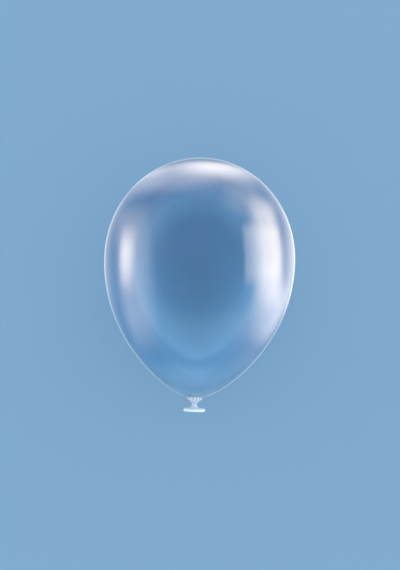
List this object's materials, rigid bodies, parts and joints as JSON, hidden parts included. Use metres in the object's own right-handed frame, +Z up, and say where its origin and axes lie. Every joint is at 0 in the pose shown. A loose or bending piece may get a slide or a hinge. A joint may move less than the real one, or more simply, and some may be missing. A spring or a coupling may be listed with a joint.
{
  "type": "clear latex party balloon",
  "caption": "See-through teardrop party balloon, blown up and sealed at its gathered neck, lying on its side. Decoration for tables, arches and floors.",
  "frame": {"origin": "middle of the underside of the balloon's own box, on the surface it lies on", "axes": "+Z up; +Y from the neck towards the crown, seen from above; X across the balloon, which is alike on both sides"},
  "size_m": [0.225, 0.2984, 0.2252],
  "materials": {
    "latex": "clear, glossy and slightly milky, whiter at the gathered neck and the rolled lip"
  },
  "bodies": {
    "root": {"balloon": "latex"}
  },
  "joints": []
}
